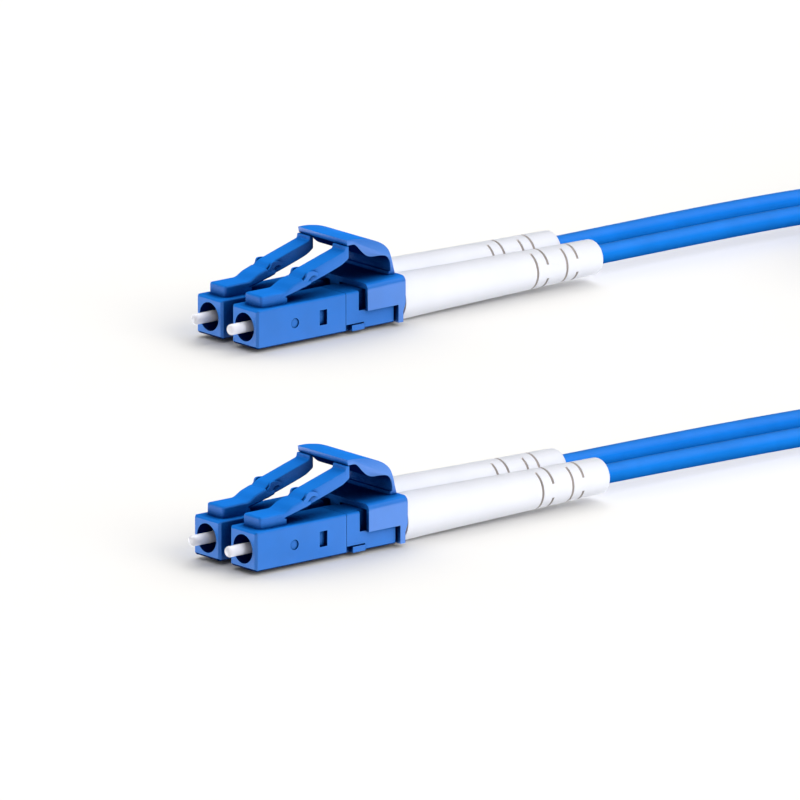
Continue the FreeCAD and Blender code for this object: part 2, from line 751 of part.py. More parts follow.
def make_trigger(body):
    """A lever on a thin post: its lip lies over both latch arms, its belly stiffens it."""
    crest = LIP_TOP + S.crest_rise
    belly = crest - S.belly_drop
    half_post = S.post_thickness / 2
    profile = new_sketch(body, "XZ_Plane")
    outline(
        profile,
        [
            (S.lip_position, LIP_BOTTOM),
            (S.lip_position, LIP_TOP),
            (S.crest_position, crest),
            (S.bend_position, crest - S.bend_drop),
            (BEAD_X + half_post, crest - S.heel_drop),
            (BEAD_X + half_post, BEAD_Z),
            (BEAD_X - half_post, BEAD_Z),
            (BEAD_X - half_post, belly - S.belly_slant),
            (S.belly_end, belly),
            (S.belly_start, belly),
            (S.hollow_position, crest - S.hollow_drop),
            (S.lip_position + S.lip_length, LIP_BOTTOM),
        ],
    )
    pad(body, profile, S.trigger_width, Midplane=True)
    lip, root = S.lip_position.value, BEAD_Z.value
    back, inner = BEAD_X.value, crest.value - S.hollow_drop.value

    def back_edge(edge):
        box = edge.BoundBox
        high = box.ZMin > crest.value - S.heel_drop.value - 1e-4
        behind = box.XMin > S.crest_position.value - 1e-4
        outside = box.XMin > back or box.ZMin > inner + 1e-4
        return runs_along(edge, "y") and high and behind and outside

    def belly_edge(edge):
        box = edge.BoundBox
        return runs_along(edge, "y") and lip < box.XMin < back and root < box.ZMin - 1e-4 and box.ZMin < inner + 1e-4

    dress(body, "Fillet", S.belly_round, belly_edge)
    dress(body, "Fillet", S.back_round, back_edge)
    bead = new_sketch(body, "XZ_Plane")
    circle(bead, BEAD_X, BEAD_Z, S.trigger_bead)
    pad(body, bead, S.trigger_width, Midplane=True)


# The cord


def strand_path(points):
    """Straight runs joined by tangent arcs, each as large as its two runs allow; returns edges and radii."""
    spots = [FreeCAD.Vector(*point) for point in points]
    edges, radii = [], []
    start = spots[0]
    for before, corner, after in zip(spots, spots[1:], spots[2:]):
        back, ahead = before - corner, after - corner
        turn = math.pi - back.getAngle(ahead)
        trim = ARC_SHARE * min(back.Length, ahead.Length)
        radius = trim / math.tan(turn / 2)
        enter = corner + back.normalize() * trim
        leave = corner + ahead.normalize() * trim
        inward = (back + ahead).normalize()
        middle = corner + inward * (radius / math.cos(turn / 2) - radius)
        edges.append(Part.LineSegment(start, enter).toShape())
        edges.append(Part.Arc(enter, middle, leave).toShape())
        radii.append(radius)
        start = leave
    edges.append(Part.LineSegment(start, spots[-1]).toShape())
    return edges, radii


def make_strand(label, points):
    edges, radii = strand_path(points)
    path = Part.Wire(edges)
    heading = path.Edges[0].tangentAt(path.Edges[0].FirstParameter)
    section = Part.makeCircle(S.strand_diameter.value / 2, FreeCAD.Vector(*points[0]), heading)
    tube = path.makePipeShell([Part.Wire([section])], True, True)
    expected = math.pi * S.strand_diameter.value**2 / 4 * path.Length
    share = tube.Volume / expected
    print("strand %s: length %.1f, radii %s, volume share %.4f" % (
        label, path.Length, [round(radius, 1) for radius in radii], share))
    if abs(share - 1) > 0.01:
        raise RuntimeError("strand %s: the tube's volume is wrong" % label)
    lead = doc.addObject("Part::Feature", "strand_lead_" + label)
    lead.Label = "strand_lead_" + label
    lead.Shape = tube
    lead.Placement = FreeCAD.Placement()
    pieces.append(lead)


def coil_section(sketch, grow):
    """The coil's bevelled section, or the outline of a band that much larger."""
    middle = S.coil_diameter / 2
    reach = S.coil_width / 2 + grow
    low = S.tie_thickness + S.tie_clearance - grow
    high = S.tie_thickness + S.tie_clearance + S.coil_height + grow
    bevel = S.coil_round
    outline(
        sketch,
        [
            (middle - reach, low + bevel),
            (middle - reach, high - bevel),
            (middle - reach + bevel, high),
            (middle + reach - bevel, high),
            (middle + reach, high - bevel),
            (middle + reach, low + bevel),
            (middle + reach - bevel, low),
            (middle - reach + bevel, low),
        ],
    )


def make_coil():
    body = new_body("strand_coil")
    section = new_sketch(body, "XZ_Plane")
    coil_section(section, as_size(0.0))
    add_feature(body, "Revolution", section, ReferenceAxis=(origin(body, "Z_Axis"), [""]), Angle=360)
    place(body, S.coil_x, 0, 0)


def make_tie(label, angle):
    body = new_body(label)
    band = new_sketch(body, "XZ_Plane")
    coil_section(band, S.tie_clearance)
    coil_section(band, S.tie_clearance + S.tie_thickness)
    axis = (origin(body, "Z_Axis"), [""])
    add_feature(body, "Revolution", band, ReferenceAxis=axis, Angle=S.tie_angle, Midplane=True)
    place(body, S.coil_x, 0, 0)
    body.Placement.Rotation = FreeCAD.Rotation(FreeCAD.Vector(0, 0, 1), angle)


for piece_name, maker in (
    ("plug_housing", make_housing),
    ("latch_arm", make_latch),
    ("ferrule", make_ferrule),
    ("ferrule_holder", make_holder),
    ("ferrule_spring", make_spring),
    ("rear_body", make_rear_body),
    ("crimp_sleeve", make_crimp),
    ("boot", make_boot),
):
    plug_set(piece_name, maker)
end_set("duplex_clip", make_clip)
end_set("trigger", make_trigger)
for plug_label, route in ROUTES.items():
    make_strand(plug_label, route)
make_coil()
for tie_label, tie_turn in TIES:
    make_tie(tie_label, tie_turn)
doc.recompute()

for thing in doc.Objects:
    if "Invalid" in thing.State or "Error" in thing.State:
        raise RuntimeError("%s failed: %s" % (thing.Label, thing.State))
for piece in pieces:
    if piece.Shape.isNull() or not piece.Shape.isValid() or len(piece.Shape.Solids) != 1:
        raise RuntimeError("%s is not one valid solid" % piece.Label)

os.makedirs("parts", exist_ok=True)
for piece in pieces:
    piece.Shape.exportStep("parts/%s.step" % piece.Label)
print("wrote %d parts" % len(pieces))
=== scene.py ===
import json
import math

import bmesh
import bpy
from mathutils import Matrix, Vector

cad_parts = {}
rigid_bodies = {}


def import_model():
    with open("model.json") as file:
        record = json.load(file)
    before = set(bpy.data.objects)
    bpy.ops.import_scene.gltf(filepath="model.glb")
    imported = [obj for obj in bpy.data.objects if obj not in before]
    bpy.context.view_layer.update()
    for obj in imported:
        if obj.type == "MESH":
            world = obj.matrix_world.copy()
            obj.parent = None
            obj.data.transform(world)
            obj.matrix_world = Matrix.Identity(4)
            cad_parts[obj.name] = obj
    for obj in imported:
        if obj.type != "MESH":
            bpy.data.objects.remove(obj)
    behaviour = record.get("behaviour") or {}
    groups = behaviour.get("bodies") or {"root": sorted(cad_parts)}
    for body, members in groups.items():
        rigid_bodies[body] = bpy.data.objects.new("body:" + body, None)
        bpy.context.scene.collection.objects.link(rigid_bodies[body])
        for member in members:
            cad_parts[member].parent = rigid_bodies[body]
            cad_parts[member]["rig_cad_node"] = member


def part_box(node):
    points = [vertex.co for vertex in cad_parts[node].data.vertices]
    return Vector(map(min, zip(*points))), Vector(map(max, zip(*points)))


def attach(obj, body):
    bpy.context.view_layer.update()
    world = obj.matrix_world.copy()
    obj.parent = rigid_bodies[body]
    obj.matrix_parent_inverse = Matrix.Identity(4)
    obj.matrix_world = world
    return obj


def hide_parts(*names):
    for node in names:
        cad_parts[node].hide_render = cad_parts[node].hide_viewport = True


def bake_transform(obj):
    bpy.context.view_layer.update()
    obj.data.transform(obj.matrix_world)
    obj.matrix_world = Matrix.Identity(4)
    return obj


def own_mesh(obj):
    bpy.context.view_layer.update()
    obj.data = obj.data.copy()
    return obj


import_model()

bl_info = {
    "name": "Armoured fibre patch cord",
    "version": (1, 0, 0),
    "blender": (4, 5, 0),
    "location": "View3D > Sidebar > Patch Cord",
    "description": "Dresses the frame of a duplex armoured fibre patch cord and sets its studio",
    "category": "Object",
}

MM = 0.001
# Where each plug's and each end's own frame stands: front face and axis as seen from above, in millimetres.
PLUGS = {"a1": (7.615, 35.35), "a2": (7.615, 41.6), "b1": (-56.215, -41.6), "b2": (-56.215, -35.35)}
ENDS = {"a": (7.615, 38.475), "b": (-56.215, -38.475)}
AXIS_HEIGHT = 2.7

# Routes of the strands outside the coil, from the plug to the coil, in millimetres.
ROUTES = {
    "a1": [
        (33.215, 35.35, 2.7), (58.7, 35.35, 2.8), (84.5, 35.4, 2.8),
        (100.5, 35.2, 2.35), (111.7, 34.1, 1.2), (122.5, 32.0, 1.5),
    ],
    "a2": [
        (33.215, 41.6, 2.7), (59.7, 41.7, 2.8), (86.5, 41.8, 2.8),
        (103.5, 41.3, 2.35), (115.7, 37.8, 1.5), (126.9, 33.3, 1.6),
    ],
    "b1": [
        (-30.615, -41.6, 2.7), (-6.7, -41.6, 2.75), (17.5, -41.6, 2.45), (33.5, -41.7, 2.1),
        (56.5, -41.75, 1.2), (82.5, -41.3, 3.1), (106.0, -38.5, 8.2), (126.9, -33.3, 8.85),
    ],
    "b2": [
        (-30.615, -35.35, 2.7), (-6.7, -35.3, 2.75), (17.5, -35.3, 2.55), (33.5, -35.4, 2.2),
        (56.5, -35.45, 1.25), (81.5, -35.45, 3.1), (103.7, -34.3, 8.3), (122.5, -32.0, 8.9),
    ],
}
# Each strand joins a plug of the far end to the crossed plug of the near end.
STRANDS = {"strand_1": ("a1", "b2"), "strand_2": ("a2", "b1")}

WHITE = (1.0, 1.0, 1.0, 1.0)
# Size and height of the moulded grain in metres, its noise detail, and the scale of the patches of finish.
GRAIN, GRAIN_HEIGHT, GRAIN_DETAIL, PATCH_SCALE = 0.00012, 0.00002, 3.0, 420.0
# Noise values between which a colour drifts from its darkest to its lightest.
DRIFT_RANGE = (0.3, 0.7)
# Painted shade in crevices: rays for each point, and the open share that counts as closed, by all pieces and by
# the piece itself; where it is closed the colour is painted dark in place of the shade there.
CREVICE_RAYS, CLOSED_BY_ALL, CLOSED_BY_ITSELF = 5, 0.4, 0.5
# Height of the normal between which an underside turns to a side, and a side to a top: undersides are painted
# darker in place of their shade, and tops get less painted shine than sides.
UNDERSIDE_SHADE_TURN, TOP_SHINE_TURN = (-0.6, -0.15), (0.25, 0.8)
# Edges that turn by more degrees than this stay sharp, and those that are rounded first.
SHARP, SHARP_BOOT, ROUNDED = 38, 32, 28
# A rounded corner takes at most this share of its section's height, in this many steps.
CORNER_SHARE, CORNER_STEPS = 0.45, 4


def length_property(name, description, default):
    return bpy.props.FloatProperty(
        name=name, description=description, default=default, precision=5, unit="LENGTH", min=0.0
    )


def shift_property(name, description, default):
    return bpy.props.FloatProperty(name=name, description=description, default=default, precision=5, unit="LENGTH")


def number_property(name, description, default):
    return bpy.props.FloatProperty(name=name, description=description, default=default, precision=4)


def count_property(name, description, default):
    return bpy.props.IntProperty(name=name, description=description, default=default)


def group_property(name, description, kind):
    return bpy.props.PointerProperty(name=name, description=description, type=kind)


def colour_property(name, description, default):
    return bpy.props.FloatVectorProperty(
        name=name, description=description, default=default, size=3, subtype="COLOR", min=0.0, max=1.0
    )


class CordSettings(bpy.types.PropertyGroup):
    """The strands and their coil"""

    diameter: length_property("Diameter", "Outer diameter of one strand", 0.0022)
    length: length_property("Length", "Real length of one strand between its crimps", 0.957)
    coil_x: length_property("Coil position", "Centre of the coil along the plugs", 0.118)
    coil_turns: count_property("Full turns", "Whole turns of the coil", 3)
    points_per_turn: count_property("Points per turn", "Route points in one turn", 24)


class TieSettings(bpy.types.PropertyGroup):
    """The straps round the coil"""

    width: length_property("Width", "Strap width", 0.0062)
    thickness: length_property("Thickness", "Strap thickness", 0.0004)
    ribs: count_property("Ribs", "Woven ribs round one strap", 44)
    rib_height: length_property("Rib height", "How far a rib stands out", 0.00008)


class BootSettings(bpy.types.PropertyGroup):
    """The bend-relief boots"""

    flare: length_property("Flare", "Extra radius at the rear end", 0.00028)
    near_end: shift_property("Near tail", "Shift of the near boot's rear end", 0.00025)
    far_slots: shift_property("Far slots", "Shift of the far boot's slots", -0.0011)
    far_end: shift_property("Far tail", "Shift of the far boot's rear end", -0.0007)


class SpringSettings(bpy.types.PropertyGroup):
    """The springs behind the ferrules"""

    wire: length_property("Wire", "Thickness of the round wire", 0.0003)
    pitch: length_property("Pitch", "From turn to turn", 0.00145)
    travel: length_property("Travel", "How far a ferrule presses its spring", 0.0008)


class LatchSettings(bpy.types.PropertyGroup):
    """The latch arms"""

    width: length_property("Front width", "Root block and ears", 0.002915)
    arm_width: length_property("Arm width", "Arm behind the ears", 0.00225)
    front_edge: length_property("Front edge", "Rounded edges up to the ears", 0.00028)
    arm_edge: length_property("Arm edge", "Rounded edges behind the ears", 0.00014)
    ear_inset: length_property("Ear inset", "How far the ears stay inside the front's sides", 0.00002)
    ear_gap: length_property("Ear gap", "Between the arm and its ears", 0.00003)
    bend_start: length_property("Bend start", "Where the root begins to bend", 0.0042)
    bend_end: length_property("Bend end", "Where the root ends bending", 0.0061)


class TriggerSettings(bpy.types.PropertyGroup):
    """The triggers"""

    width: length_property("Width", "Across both plugs", 0.0086)
    edge: length_property("Edge", "Rounded moulded edges", 0.00006)
    bend_start: length_property("Bend start", "Height above the axis where the post begins to bend", 0.0034)
    bend_end: length_property("Bend end", "Height above the axis where the post ends bending", 0.0046)


class MaterialSettings(bpy.types.PropertyGroup):
    """Colours and finish"""

    plastic: colour_property("Plug blue", "Moulded plug pieces", (0.008, 0.19, 0.72))
    jacket: colour_property("Jacket blue", "Strand jacket", (0.008, 0.2, 0.74))
    boot: colour_property("Boot white", "Bend-relief boots", (0.9, 0.915, 0.98))
    ceramic: colour_property("Ferrule white", "Zirconia", (0.93, 0.93, 1.0))
    metal: colour_property("Metal", "Holder, crimp sleeve and spring", (0.55, 0.54, 0.52))
    strap: colour_property("Strap", "Coil ties", (0.012, 0.013, 0.016))
    # Painted shade: the colours painted into crevices and recesses, and on the plugs also into undersides, in
    # place of the shade there.
    plastic_painted_shade: colour_property("Plug shade", "Plug blue in crevices", (0.0, 0.008, 0.09))
    jacket_painted_shade: colour_property("Jacket shade", "Jacket blue in crevices", (0.002, 0.15, 0.64))
    boot_painted_shade: colour_property("Boot shade", "Boot white in crevices", (0.74, 0.69, 0.67))
    grain: length_property("Grain", "Size of the moulded grain", GRAIN)


class StageSettings(bpy.types.PropertyGroup):
    """Camera, floor and lights"""

    target: bpy.props.FloatVectorProperty(
        name="Target",
        description="Point in the middle of the picture",
        default=(-0.00037, -0.00149, 0.0027),
        precision=5,
    )
    back: bpy.props.FloatVectorProperty(
        name="View direction", description="From the target to the camera", default=(-0.6206, -0.7449, 0.2453)
    )
    distance: length_property("Distance", "Camera to target", 4.2)
    view_width: length_property("View width", "Width of the picture at the target", 0.0891)
    floor_size: length_property("Floor size", "Side of the floor", 6.0)
    floor_bounce: number_property("Floor bounce", "Share of light that the floor throws back", 0.45)
    floor_mirror: number_property("Floor mirror", "Brightness of the floor in reflections", 2.2)
    world: number_property("Surround", "Strength of the even surround light", 0.35)
    world_mirror: number_property("Surround mirror", "Strength of the surround in reflections", 0.03)
    key: number_property("Key light", "Strength of the light from above", 2.3)
    side: number_property("Side light", "Strength of the low light on the near sides", 1.68)
    tips: number_property("Ferrule light", "Strength of the light on the ferrules alone", 1.3)
    front: number_property("Front light", "Strength of the low light on the front", 1.35)
    right: number_property("Right floor light", "Strength of the light from the right on the floor alone", 1.85)
    rear: number_property("Rear floor light", "Strength of the light from behind on the floor alone", 1.42)
    sweep: number_property("Low floor light", "Strength of the low light on the floor alone", 1.8)
    fill: number_property("Boot light", "Strength of the light on the boots alone", 2.3)
    boot_back: number_property("Boot back light", "Strength of the light on the boots from behind", 1.3)
    gleam: number_property("Strand light", "Strength of the light on the strands alone", 2.9)


class PatchCordSettings(bpy.types.PropertyGroup):
    """All settings of the patch cord"""

    cord: group_property("Cord", "Strands and coil", CordSettings)
    tie: group_property("Ties", "Straps round the coil", TieSettings)
    boot: group_property("Boots", "Bend-relief boots", BootSettings)
    spring: group_property("Springs", "Ferrule springs", SpringSettings)
    latch: group_property("Latches", "Latch arms", LatchSettings)
    trigger: group_property("Triggers", "Press-down triggers", TriggerSettings)
    material: group_property("Materials", "Colours", MaterialSettings)
    stage: group_property("Stage", "Camera, floor, lights", StageSettings)


# Node groups and materials


def add_node(tree, kind, inputs=None, **settings):
    """Adds a node with its settings; each input is a value or the socket that feeds it."""
    node = tree.nodes.new(kind)
    for name, value in settings.items():
        setattr(node, name, value)
    for key, value in (inputs or {}).items():
        if isinstance(value, bpy.types.NodeSocket):
            tree.links.new(value, node.inputs[key])
        else:
            node.inputs[key].default_value = value
    return node


def add_math(tree, operation, *terms):
    """Adds a calculation on terms that are numbers or sockets; returns its output."""
    return add_node(tree, "ShaderNodeMath", dict(enumerate(terms)), operation=operation).outputs[0]


def add_range(tree, value, source, target=(0.0, 1.0)):
    """Adds a map of a value from one range to another, each of numbers or sockets; returns its output."""
    names = ("Value", "From Min", "From Max", "To Min", "To Max")
    inputs = dict(zip(names, (value, *source, *target)))
    return add_node(tree, "ShaderNodeMapRange", inputs).outputs["Result"]


def new_group(name, kind, inputs, outputs):
    """A node group with its sockets; returns the group, what enters it and what leaves it."""
    group = bpy.data.node_groups.new(name, kind)
    for label, socket, default in inputs:
        item = group.interface.new_socket(name=label, in_out="INPUT", socket_type=socket)
        if default is not None:
            item.default_value = default
    for label, socket in outputs:
        group.interface.new_socket(name=label, in_out="OUTPUT", socket_type=socket)
    return group, group.nodes.new("NodeGroupInput").outputs, group.nodes.new("NodeGroupOutput").inputs


def geometry_group(name, inputs):
    """A node group that makes a piece from nothing but its inputs."""
    shape = ("Geometry", "NodeSocketGeometry")
    return new_group(name, "GeometryNodeTree", [(*shape, None), *inputs], [shape])


def group_node(tree, name, build, inputs):
    """Adds a node with a shared node group, which is built at its first use."""
    group = bpy.data.node_groups.get(name) or build(name)
    return add_node(tree, "ShaderNodeGroup", inputs, node_tree=group)


def grain_group(name):
    """Fine moulded grain: a bump and a slightly uneven roughness, in object space."""
    inputs = [
        ("Size", "NodeSocketFloat", GRAIN),
        ("Depth", "NodeSocketFloat", 0.1),
        ("Roughness", "NodeSocketFloat", 0.4),
        ("Spread", "NodeSocketFloat", 0.08),
    ]
    outputs = [("Normal", "NodeSocketVector"), ("Roughness", "NodeSocketFloat")]
    group, entry, leave = new_group(name, "ShaderNodeTree", inputs, outputs)
    place = add_node(group, "ShaderNodeTexCoord").outputs["Object"]
    scale = add_math(group, "DIVIDE", 1.0, entry["Size"])
    fine = add_node(group, "ShaderNodeTexNoise", {"Vector": place, "Scale": scale, "Detail": GRAIN_DETAIL})
    relief = {"Height": fine.outputs["Fac"], "Strength": entry["Depth"], "Distance": GRAIN_HEIGHT}
    bump = add_node(group, "ShaderNodeBump", relief)
    patches = add_node(group, "ShaderNodeTexNoise", {"Vector": place, "Scale": PATCH_SCALE})
    centred = add_math(group, "SUBTRACT", patches.outputs["Fac"], 0.5)
    uneven = add_math(group, "MULTIPLY_ADD", centred, entry["Spread"], entry["Roughness"])
    group.links.new(bump.outputs["Normal"], leave["Normal"])
    group.links.new(uneven, leave["Roughness"])
    return group


def tint_group(name):
    """A colour that drifts a little lighter and darker over the part."""
    inputs = [
        ("Colour", "NodeSocketColor", (0.5, 0.5, 0.5, 1.0)),
        ("Amount", "NodeSocketFloat", 0.1),
        ("Scale", "NodeSocketFloat", 250.0),
    ]
    group, entry, leave = new_group(name, "ShaderNodeTree", inputs, [("Colour", "NodeSocketColor")])
    place = add_node(group, "ShaderNodeTexCoord").outputs["Object"]
    drift = add_node(group, "ShaderNodeTexNoise", {"Vector": place, "Scale": entry["Scale"]})
    limits = [add_math(group, operation, 1.0, entry["Amount"]) for operation in ("SUBTRACT", "ADD")]
    change = add_range(group, drift.outputs["Fac"], DRIFT_RANGE, limits)
    tinted = add_node(group, "ShaderNodeHueSaturation", {"Value": change, "Color": entry["Colour"]})
    group.links.new(tinted.outputs["Color"], leave["Colour"])
    return group


def painted_shade_group(name):
    """Painted shade and shine: a colour that turns to a second one where other surfaces stand close and on
    undersides, in place of the shade there, and the shine left there, painted weaker in that shade and on tops.
    """
    inputs = [
        ("Colour", "NodeSocketColor", (0.5, 0.5, 0.5, 1.0)),
        ("Shade", "NodeSocketColor", (0.1, 0.1, 0.1, 1.0)),
        ("Reach", "NodeSocketFloat", 0.002),
        ("Open", "NodeSocketFloat", 0.86),
        ("Underside", "NodeSocketFloat", 0.06),
        ("Side Shine", "NodeSocketFloat", 1.0),
        ("Top Shine", "NodeSocketFloat", 0.06),
    ]
    outputs = [("Colour", "NodeSocketColor"), ("Shine", "NodeSocketFloat")]
    group, entry, leave = new_group(name, "ShaderNodeTree", inputs, outputs)
    shares = []
    # Painted shade in crevices: ambient occlusion by all pieces and by the piece itself turns the colour towards
    # the shade colour.
    for local, closed in ((False, CLOSED_BY_ALL), (True, CLOSED_BY_ITSELF)):
        reach = {"Distance": entry["Reach"]}
        near = add_node(group, "ShaderNodeAmbientOcclusion", reach, samples=CREVICE_RAYS, only_local=local)
        shares.append(add_range(group, near.outputs["AO"], (closed, entry["Open"])))
    # Painted shade on undersides: faces that point down keep only the Underside share of their colour.
    facing = add_node(group, "ShaderNodeTexCoord").outputs["Normal"]
    upright = add_node(group, "ShaderNodeSeparateXYZ", {"Vector": facing}).outputs["Z"]
    turned = add_range(group, upright, UNDERSIDE_SHADE_TURN, (entry["Underside"], 1.0))
    clear = add_math(group, "MULTIPLY", add_math(group, "MULTIPLY", *shares), turned)
    colours = {"Factor": clear, "A": entry["Shade"], "B": entry["Colour"]}
    mix = add_node(group, "ShaderNodeMix", colours, data_type="RGBA")
    group.links.new(mix.outputs["Result"], leave["Colour"])
    # Painted shine: the coat is strong on sides and weak on tops, and fades in the painted shade, in place of how
    # the reflections fall.
    calm = add_range(group, upright, TOP_SHINE_TURN, (entry["Side Shine"], entry["Top Shine"]))
    shine = add_math(group, "MULTIPLY", add_math(group, "POWER", clear, 2.0), calm)
    group.links.new(shine, leave["Shine"])
    return group


def make_material(name, colour, roughness, drift=0.05, depth=0.12, grain=GRAIN, crevice=None, **sockets):
    """A material of tinted colour and moulded grain; crevice holds inputs of its group of painted shade and shine,
    sockets the shader's.
    """
    material = bpy.data.materials.new(name)
    material.use_nodes = True
    tree = material.node_tree
    shader = tree.nodes["Principled BSDF"].inputs
    tint = group_node(tree, "Colour Drift", tint_group, {"Colour": (*colour, 1.0), "Amount": drift})
    texture = {"Size": grain, "Depth": depth, "Roughness": roughness}
    finish = group_node(tree, "Moulded Grain", grain_group, texture)
    shown = tint.outputs["Colour"]
    # Painted shade and shine: the group's colour, darkened in crevices and on undersides, becomes the base colour,
    # and its shine becomes the coat's weight.
    if crevice:
        shaded = group_node(tree, "Crevice Shade", painted_shade_group, {"Colour": shown, **crevice})
        shown = shaded.outputs["Colour"]
        tree.links.new(shaded.outputs["Shine"], shader["Coat Weight"])
        shader["Coat Roughness"].default_value = roughness
        shader["Specular IOR Level"].default_value = 0.0
    tree.links.new(shown, shader["Base Color"])
    tree.links.new(finish.outputs["Roughness"], shader["Roughness"])
    tree.links.new(finish.outputs["Normal"], shader["Normal"])
    for socket, value in sockets.items():
        shader[socket.replace("_", " ")].default_value = value
    return material


def frame_objects():
    """The frame's objects by the names of their CAD nodes."""
    return {item["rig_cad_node"]: item for item in bpy.data.objects if "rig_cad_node" in item}


def dress_nodes(material, *kinds):
    """Gives a material to every CAD node of these kinds, such as ferrule for ferrule_a1."""
    for node, item in frame_objects().items():
        if node.rsplit("_", 1)[0] in kinds:
            item.data.materials.clear()
            item.data.materials.append(material)


# Mesh helpers


def mesh_object(name, mesh, material):
    """A new object in the scene with a mesh of one material."""
    item = bpy.data.objects.new(name, mesh)
    bpy.context.scene.collection.objects.link(item)
    item.data.materials.clear()
    item.data.materials.append(material)
    return item


def quarter(across, up, radius, start, steps):
    """Points of (across, up) on a quarter of a circle, which starts at an angle in degrees."""
    angles = [math.radians(start + 90 / steps * number) for number in range(steps + 1)]
    return [(across + radius * math.cos(angle), up + radius * math.sin(angle)) for angle in angles]


def bridged(builder, rings):
    """Adds a closed solid to a bmesh: rings of equally many points, joined and capped."""
    rings = [[builder.verts.new(spot) for spot in ring] for ring in rings]
    count = len(rings[0])
    for ring, after in zip(rings, rings[1:]):
        for number in range(count):
            follower = (number + 1) % count
            builder.faces.new((ring[number], ring[follower], after[follower], after[number]))
    builder.faces.new(list(reversed(rings[0])))
    builder.faces.new(rings[-1])


def extruded(builder, outline, low, high):
    """Adds a solid to a bmesh: an outline of (x, z) drawn from y = low to y = high, in metres."""
    bridged(builder, [[(x, y, z) for x, z in outline] for y in (low, high)])


def lofted(builder, stations, middle, half, corner):
    """Adds a solid to a bmesh: rounded sections of one width through stations of (x, low, high), in metres."""
    rings = []
    for x, low, high in stations:
        radius = min(corner, (high - low) * CORNER_SHARE)
        corners = [
            (half - radius, high - radius, 0),
            (radius - half, high - radius, 90),
            (radius - half, low + radius, 180),
            (half - radius, low + radius, 270),
        ]
        ring = []
        for y, z, start in corners:
            ring += [(x, *spot) for spot in quarter(middle + y, z, radius, start, CORNER_STEPS)]
        rings.append(ring)
    bridged(builder, rings)


def built_mesh(name, builder):
    """The mesh of a bmesh, which is freed."""
    mesh = bpy.data.meshes.new(name)
    builder.to_mesh(mesh)
    builder.free()
    return mesh


def smoothed(mesh, degrees):
    """Shades a mesh smoothly, apart from edges that turn by more than this."""
    for polygon in mesh.polygons:
        polygon.use_smooth = True
    mesh.set_sharp_from_angle(angle=math.radians(degrees))


def as_plain_mesh(item):
    """Turns what the modifiers of a piece give into its own mesh."""
    bpy.context.view_layer.update()
    evaluated = item.evaluated_get(bpy.context.evaluated_depsgraph_get())
    mesh = bpy.data.meshes.new_from_object(evaluated)
    item.modifiers.clear()
    item.data = mesh


def grown(name, group, material, values):
    """A piece that a geometry node group makes from these inputs, as a plain mesh."""
    item = mesh_object(name, bpy.data.meshes.new(name), material)
    modifier = item.modifiers.new(group.name, "NODES")
    modifier.node_group = group
    for socket in group.interface.items_tree:
        if socket.in_out == "INPUT" and socket.name in values:
            modifier[socket.identifier] = values[socket.name]
    as_plain_mesh(item)
    if not item.data.polygons:
        raise RuntimeError(name + " came out empty")
    return item


def with_edges(item, edge):
    """Rounds the edges of a piece with a bevel and leaves a plain mesh."""
    bevel = item.modifiers.new("Edges", "BEVEL")
    bevel.width = edge
    bevel.segments = 2
    bevel.limit_method = "ANGLE"
    bevel.angle_limit = math.radians(ROUNDED)
    as_plain_mesh(item)
    smoothed(item.data, SHARP)
    return item


def smooth_line(points, steps=5):
    """A smooth line through points, by a cardinal spline."""
    result = []
    last = len(points) - 1
    for number in range(last):
        p0 = points[max(number - 1, 0)]
        p1, p2 = points[number], points[number + 1]
        p3 = points[min(number + 2, last)]
        for step in range(steps):
            t = step / steps
            spot = []
            for a, b, c, d in zip(p0, p1, p2, p3):
                slope_b, slope_c = (c - a) / 2, (d - b) / 2
                spot.append(
                    (2 * t**3 - 3 * t**2 + 1) * b
                    + (t**3 - 2 * t**2 + t) * slope_b
                    + (3 * t**2 - 2 * t**3) * c
                    + (t**3 - t**2) * slope_c
                )
            result.append(tuple(spot))
    result.append(points[-1])
    return result


def in_metres(points, x, z):
    """Points of (x, z, ...) in millimetres of the plug's frame, moved into the scene and turned to metres."""
    return [((point[0] + x) * MM, *((height + z) * MM for height in point[1:])) for point in points]


class PieceOperator(bpy.types.Operator):
    """Shared by the operators of the patch cord"""

    bl_options = {"REGISTER", "UNDO"}

    def execute(self, context):
        self.make(context, context.scene.patch_cord)
        return {"FINISHED"}


class PATCHCORD_OT_camera(PieceOperator):
    """Sets the camera at the photograph's angle"""

    bl_idname = "patchcord.camera"
    bl_label = "Camera"

    def make(self, context, settings):
        stage = settings.stage
        camera = bpy.data.cameras.new("camera")
        camera.sensor_width = 36.0
        camera.lens = camera.sensor_width * stage.distance / stage.view_width
        camera.clip_end = 100.0
        item = bpy.data.objects.new("camera", camera)
        context.scene.collection.objects.link(item)
        back = Vector(stage.back).normalized()
        item.location = Vector(stage.target) + back * stage.distance
        item.rotation_euler = (-back).to_track_quat("-Z", "Y").to_euler()
        context.scene.camera = item


